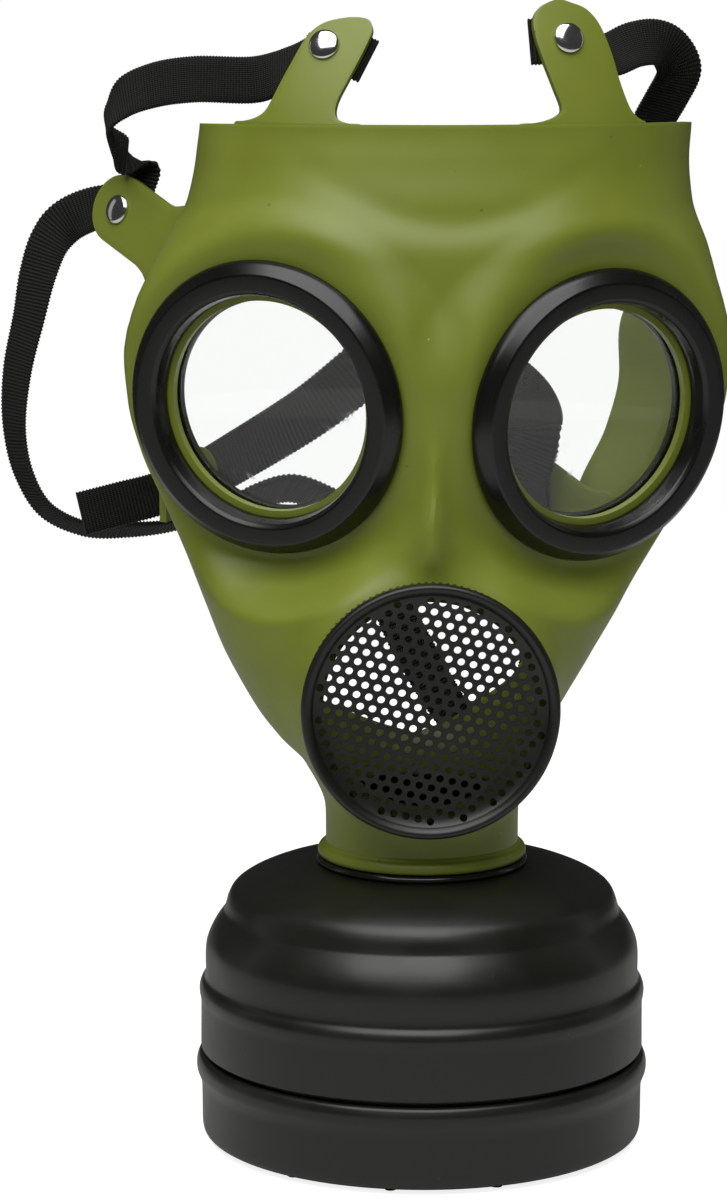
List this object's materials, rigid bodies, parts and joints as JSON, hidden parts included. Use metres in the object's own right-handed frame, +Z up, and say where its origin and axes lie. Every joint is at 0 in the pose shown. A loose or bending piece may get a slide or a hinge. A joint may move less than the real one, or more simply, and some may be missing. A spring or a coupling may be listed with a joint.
{
  "type": "gas mask style costume mask",
  "caption": "Moulded full-face costume mask with round eye pieces, a pierced mouth grille, webbing straps and a round filter canister under the chin.",
  "frame": {"origin": "centre of the canister's base, on the plane it stands on", "axes": "+Z up, +X to the right of someone facing the mask, the mask looks along -Y"},
  "size_m": [0.2021, 0.1804, 0.3092],
  "materials": {
    "vinyl": "satin moulded vinyl",
    "black_plastic": "satin",
    "canister_plastic": "satin moulded",
    "webbing": "ribbed woven webbing",
    "clear_lens": "clear plastic",
    "chrome": "polished"
  },
  "bodies": {
    "root": {"face_shell": "vinyl", "eye_rim_left": "black_plastic", "lens_left": "clear_lens", "eye_back_ring_left": "black_plastic", "eye_rim_right": "black_plastic", "lens_right": "clear_lens", "eye_back_ring_right": "black_plastic", "mouth_grille": "black_plastic", "neck_ring": "black_plastic", "canister_body": "canister_plastic", "canister_cap": "canister_plastic", "strap_top_left": "webbing", "strap_top_right": "webbing", "strap_loop": "webbing", "strap_cheek": "webbing", "rivet_top_left": "chrome", "rivet_top_right": "chrome", "rivet_temple_left": "chrome", "rivet_temple_right": "chrome", "rivet_cheek_left": "chrome", "rivet_cheek_right": "chrome"}
  },
  "joints": []
}
